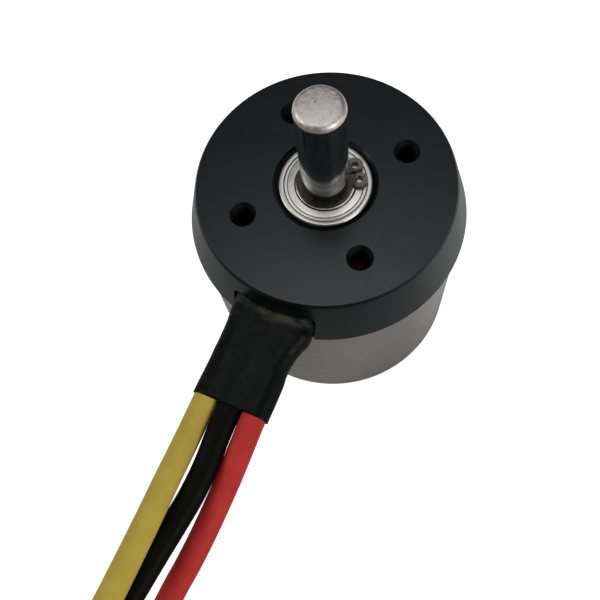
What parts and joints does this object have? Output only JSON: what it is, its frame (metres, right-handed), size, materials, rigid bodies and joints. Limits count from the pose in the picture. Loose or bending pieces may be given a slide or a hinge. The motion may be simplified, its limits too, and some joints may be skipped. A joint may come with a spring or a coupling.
{
  "type": "brushless outrunner motor",
  "caption": "Sealed outrunner motor: fixed front cover with side lead exit, turning steel can, plain round shaft and flexible phase leads.",
  "frame": {"origin": "centre of the rear face of the can, the face the motor stands on; the leads are left out of the box", "axes": "+Z along the shaft towards its free end; the leads leave the front cover along -Y"},
  "size_m": [0.0498, 0.186, 0.0671],
  "materials": {
    "anodised_black": "satin black anodised",
    "can_steel": "satin turned steel, nickel grey",
    "shaft_steel": "ground and polished",
    "bearing_steel": "polished",
    "spring_steel": "phosphated dark grey, slight oil sheen",
    "black_oxide": "black oxide",
    "ball_cage": "pressed steel with polished balls",
    "lamination_steel": "stacked sheet edges, varnished",
    "slot_insulation": "green epoxy powder",
    "enamelled_copper": "clear red-brown enamel over copper",
    "plated_magnet": "nickel plate",
    "heat_shrink": "satin black polyolefin",
    "silicone_yellow": "matt silicone",
    "silicone_black": "matt silicone",
    "silicone_red": "matt silicone",
    "gold_plate": "gold plate"
  },
  "bodies": {
    "stator": {"front_cover": "anodised_black", "front_bearing_outer_ring": "bearing_steel", "front_bearing_upper_shield": "bearing_steel", "front_bearing_lower_shield": "bearing_steel", "rear_bearing_outer_ring": "bearing_steel", "rear_bearing_upper_shield": "bearing_steel", "rear_bearing_lower_shield": "bearing_steel", "stator_laminations": "lamination_steel", "slot_insulator_front": "slot_insulation", "slot_insulator_rear": "slot_insulation", "coil_01": "enamelled_copper", "coil_02": "enamelled_copper", "coil_03": "enamelled_copper", "coil_04": "enamelled_copper", "coil_05": "enamelled_copper", "coil_06": "enamelled_copper", "coil_07": "enamelled_copper", "coil_08": "enamelled_copper", "coil_09": "enamelled_copper", "coil_10": "enamelled_copper", "coil_11": "enamelled_copper", "coil_12": "enamelled_copper", "lead_sleeve": "heat_shrink", "winding_tail_yellow": "enamelled_copper", "lead_yellow": "silicone_yellow", "connector_boot_yellow": "heat_shrink", "bullet_connector_yellow": "gold_plate", "winding_tail_black": "enamelled_copper", "lead_black": "silicone_black", "connector_boot_black": "heat_shrink", "bullet_connector_black": "gold_plate", "winding_tail_red": "enamelled_copper", "lead_red": "silicone_red", "connector_boot_red": "heat_shrink", "bullet_connector_red": "gold_plate"},
    "rotor": {"steel_can": "can_steel", "rear_end_bell": "anodised_black", "output_shaft": "shaft_steel", "shaft_circlip": "spring_steel", "shaft_screw": "black_oxide", "shim_washer": "shaft_steel", "front_bearing_inner_ring": "bearing_steel", "rear_bearing_inner_ring": "bearing_steel", "magnet_01": "plated_magnet", "magnet_02": "plated_magnet", "magnet_03": "plated_magnet", "magnet_04": "plated_magnet", "magnet_05": "plated_magnet", "magnet_06": "plated_magnet", "magnet_07": "plated_magnet", "magnet_08": "plated_magnet", "magnet_09": "plated_magnet", "magnet_10": "plated_magnet", "magnet_11": "plated_magnet", "magnet_12": "plated_magnet", "magnet_13": "plated_magnet", "magnet_14": "plated_magnet"},
    "front_ball_set": {"front_bearing_balls": "ball_cage"},
    "rear_ball_set": {"rear_bearing_balls": "ball_cage"}
  },
  "joints": [
    {"name": "rotor_spin", "type": "hinge", "parent": "stator", "child": "rotor", "pos_m": [0, 0, 0.022], "axis": [0, 0, 1], "continuous": true},
    {"name": "front_balls_orbit", "type": "hinge", "parent": "stator", "child": "front_ball_set", "pos_m": [0, 0, 0.0418], "axis": [0, 0, 1], "continuous": true},
    {"name": "rear_balls_orbit", "type": "hinge", "parent": "stator", "child": "rear_ball_set", "pos_m": [0, 0, 0.0123], "axis": [0, 0, 1], "continuous": true}
  ],
  "couplings": [
    {"joint": "front_balls_orbit", "follows": "rotor_spin", "ratio": 0.4167},
    {"joint": "rear_balls_orbit", "follows": "rotor_spin", "ratio": 0.4167}
  ]
}
